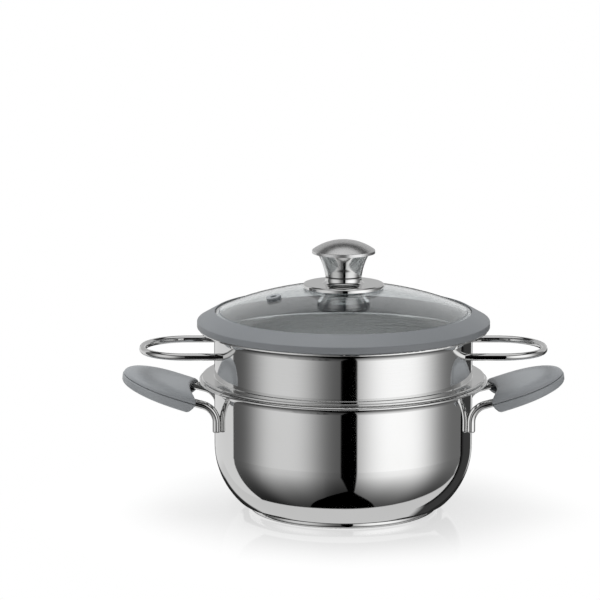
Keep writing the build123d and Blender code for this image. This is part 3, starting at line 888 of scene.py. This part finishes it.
def lay_room(tree, level, turn, rise):
    """The dark stand at the right, and the dark room behind, under the horizon."""
    band = mapped(tree, rise, *HORIZON, 1.0, 0.0)
    band = math_of(tree, "MULTIPLY", band, mapped(tree, rise, *ABOVE_TABLE))
    start = mapped(tree, turn, *STAND_START)
    end = mapped(tree, turn, *STAND_END, 1.0, 0.0)
    stand = math_of(tree, "MULTIPLY", math_of(tree, "MULTIPLY", start, end), band)
    level = over(tree, level, mapped(tree, turn, *STAND_FADE, *STAND_LEVELS), stand)
    edge = mapped(tree, rise, *ROOM_RISE, *ROOM_TURN)
    aside = math_of(tree, "SUBTRACT", math_of(tree, "ABSOLUTE", turn), edge)
    room = math_of(tree, "MULTIPLY", mapped(tree, aside, *ROOM_EDGE), band)
    return over(tree, level, ROOM_LEVEL, room)


def lay_ceiling(tree, level, turn, rise):
    """The backdrop over the horizon, the dark ceiling and its pale middle."""
    backdrop = mapped(tree, math_of(tree, "ABSOLUTE", turn), *BACKDROP_TURN)
    backdrop = math_of(tree, "MULTIPLY", backdrop, mapped(tree, rise, *BACKDROP_RISE))
    level = over(tree, level, BACKDROP_LEVEL, backdrop)
    level = over(tree, level, GLOOM_LEVEL, mapped(tree, rise, *GLOOM_RISE, smooth=True))
    return over(tree, level, CEILING_LEVEL, mapped(tree, rise, *CEILING_RISE, smooth=True))


def make_world():
    """A white studio. Metal sees two softboxes with a dark gap between them."""
    world = bpy.data.worlds.new("studio")
    bpy.context.scene.world = world
    world.use_nodes = True
    tree = world.node_tree
    tree.nodes.clear()
    place = tree.nodes.new("ShaderNodeTexCoord")
    split = tree.nodes.new("ShaderNodeSeparateXYZ")
    tree.links.new(place.outputs["Generated"], split.inputs[0])
    x, y, z = split.outputs
    toward_camera = math_of(tree, "MULTIPLY", y, -1.0)
    turn = math_of(tree, "DEGREES", math_of(tree, "ARCTAN2", x, toward_camera))
    rise = math_of(tree, "DEGREES", math_of(tree, "ARCSINE", z))

    level = lay_boxes(tree, WALL_LEVEL, x, toward_camera, turn, rise)
    level = lay_gap(tree, level, turn, rise)
    level = lay_table(tree, level, x, toward_camera, rise)
    level = lay_room(tree, level, turn, rise)
    level = lay_ceiling(tree, level, turn, rise)

    plain = mapped(tree, z, -1, 1, *PLAIN_LEVELS)
    ray = tree.nodes.new("ShaderNodeLightPath").outputs
    lit = over(tree, plain, level, ray["Is Glossy Ray"])
    seen = math_of(tree, "MAXIMUM", ray["Is Camera Ray"], ray["Is Transmission Ray"])
    background = tree.nodes.new("ShaderNodeBackground")
    background.inputs["Color"].default_value = (1, 1, 1, 1)
    tree.links.new(over(tree, lit, SEEN_LEVEL, seen), background.inputs["Strength"])
    output = tree.nodes.new("ShaderNodeOutputWorld")
    tree.links.new(background.outputs[0], output.inputs["Surface"])


def floor_finish():
    """Matt white that the camera sees nearly pure, and a fading gloss near the pot."""
    material, tree, shader = new_tree("floor_finish")
    radius = off_axis(tree, object_axes(tree))
    white = tree.nodes.new("ShaderNodeEmission")
    white.inputs["Color"].default_value = (1, 1, 1, 1)
    dull = tree.nodes.new("ShaderNodeBsdfDiffuse")
    dull.inputs["Color"].default_value = (FLOOR_COLOUR, FLOOR_COLOUR, FLOOR_COLOUR, 1)
    gloss = tree.nodes.new("ShaderNodeBsdfGlossy")
    gloss.inputs["Roughness"].default_value = FLOOR_GLOSS
    fresnel = tree.nodes.new("ShaderNodeFresnel")
    fresnel.inputs["IOR"].default_value = FLOOR_IOR
    ray = tree.nodes.new("ShaderNodeLightPath").outputs
    whitening = mapped(tree, radius, *SHADOW_RADII, *SHADOW_WHITENING, smooth=True)
    plain = tree.nodes.new("ShaderNodeMixShader")
    tree.links.new(math_of(tree, "MULTIPLY", whitening, ray["Is Camera Ray"]), plain.inputs[0])
    tree.links.new(dull.outputs[0], plain.inputs[1])
    tree.links.new(white.outputs[0], plain.inputs[2])
    near = mapped(tree, radius, *MIRROR_RADII, 1.0, 0.0, smooth=True)
    table = tree.nodes.new("ShaderNodeMixShader")
    tree.links.new(math_of(tree, "MULTIPLY", fresnel.outputs[0], near), table.inputs[0])
    tree.links.new(plain.outputs[0], table.inputs[1])
    tree.links.new(gloss.outputs[0], table.inputs[2])
    tree.links.new(table.outputs[0], tree.nodes["Material Output"].inputs["Surface"])
    tree.nodes.remove(shader)
    return material


def make_floor():
    """A white glossy table that carries the pot's shadow and a fading reflection."""
    mesh = bpy.data.meshes.new("floor")
    side = FLOOR_SIDE
    corners = [(-side, -side, 0), (side, -side, 0), (side, side, 0), (-side, side, 0)]
    mesh.from_pydata(corners, [], [(0, 1, 2, 3)])
    mesh.materials.append(floor_finish())
    floor = bpy.data.objects.new("floor", mesh)
    bpy.context.scene.collection.objects.link(floor)
    floor.visible_glossy = False


def make_lamp(name, place, aim, size, power):
    """A square area lamp that looks at a point and isn't seen in steel or glass."""
    data = bpy.data.lights.new(name, "AREA")
    data.shape = "SQUARE"
    data.size = size
    data.energy = power
    lamp = bpy.data.objects.new(name, data)
    lamp.location = place
    lamp.rotation_mode = "QUATERNION"
    lamp.rotation_quaternion = (Vector(aim) - Vector(place)).to_track_quat("-Z", "Y")
    lamp.visible_glossy = False
    lamp.visible_transmission = False
    lamp.visible_camera = False
    bpy.context.scene.collection.objects.link(lamp)


def make_camera():
    """The photograph's camera: far off, a little above the pot's rim."""
    data = bpy.data.cameras.new("camera")
    data.sensor_width = SENSOR_WIDTH
    data.lens = SENSOR_WIDTH * CAMERA_DISTANCE / (PHOTO_SIDE * METRES_PER_PIXEL)
    data.clip_start = NEAREST
    data.clip_end = FARTHEST
    camera = bpy.data.objects.new("camera", data)
    middle = PHOTO_SIDE / 2
    aside = (middle - ORIGIN_PIXEL.x) * METRES_PER_PIXEL
    above = (ORIGIN_PIXEL.y - middle) * METRES_PER_PIXEL / math.cos(CAMERA_ELEVATION)
    aim = Vector((aside, 0, above))
    back = Vector((0, -math.cos(CAMERA_ELEVATION), math.sin(CAMERA_ELEVATION)))
    camera.location = aim + back * CAMERA_DISTANCE
    camera.rotation_mode = "QUATERNION"
    camera.rotation_quaternion = (-back).to_track_quat("-Z", "Y")
    bpy.context.scene.collection.objects.link(camera)
    bpy.context.scene.camera = camera


make_world()
make_floor()
make_lamp("key", KEY_PLACE, KEY_AIM, KEY_SIZE, KEY_POWER)
make_camera()
bpy.context.scene.view_settings.view_transform = "Standard"
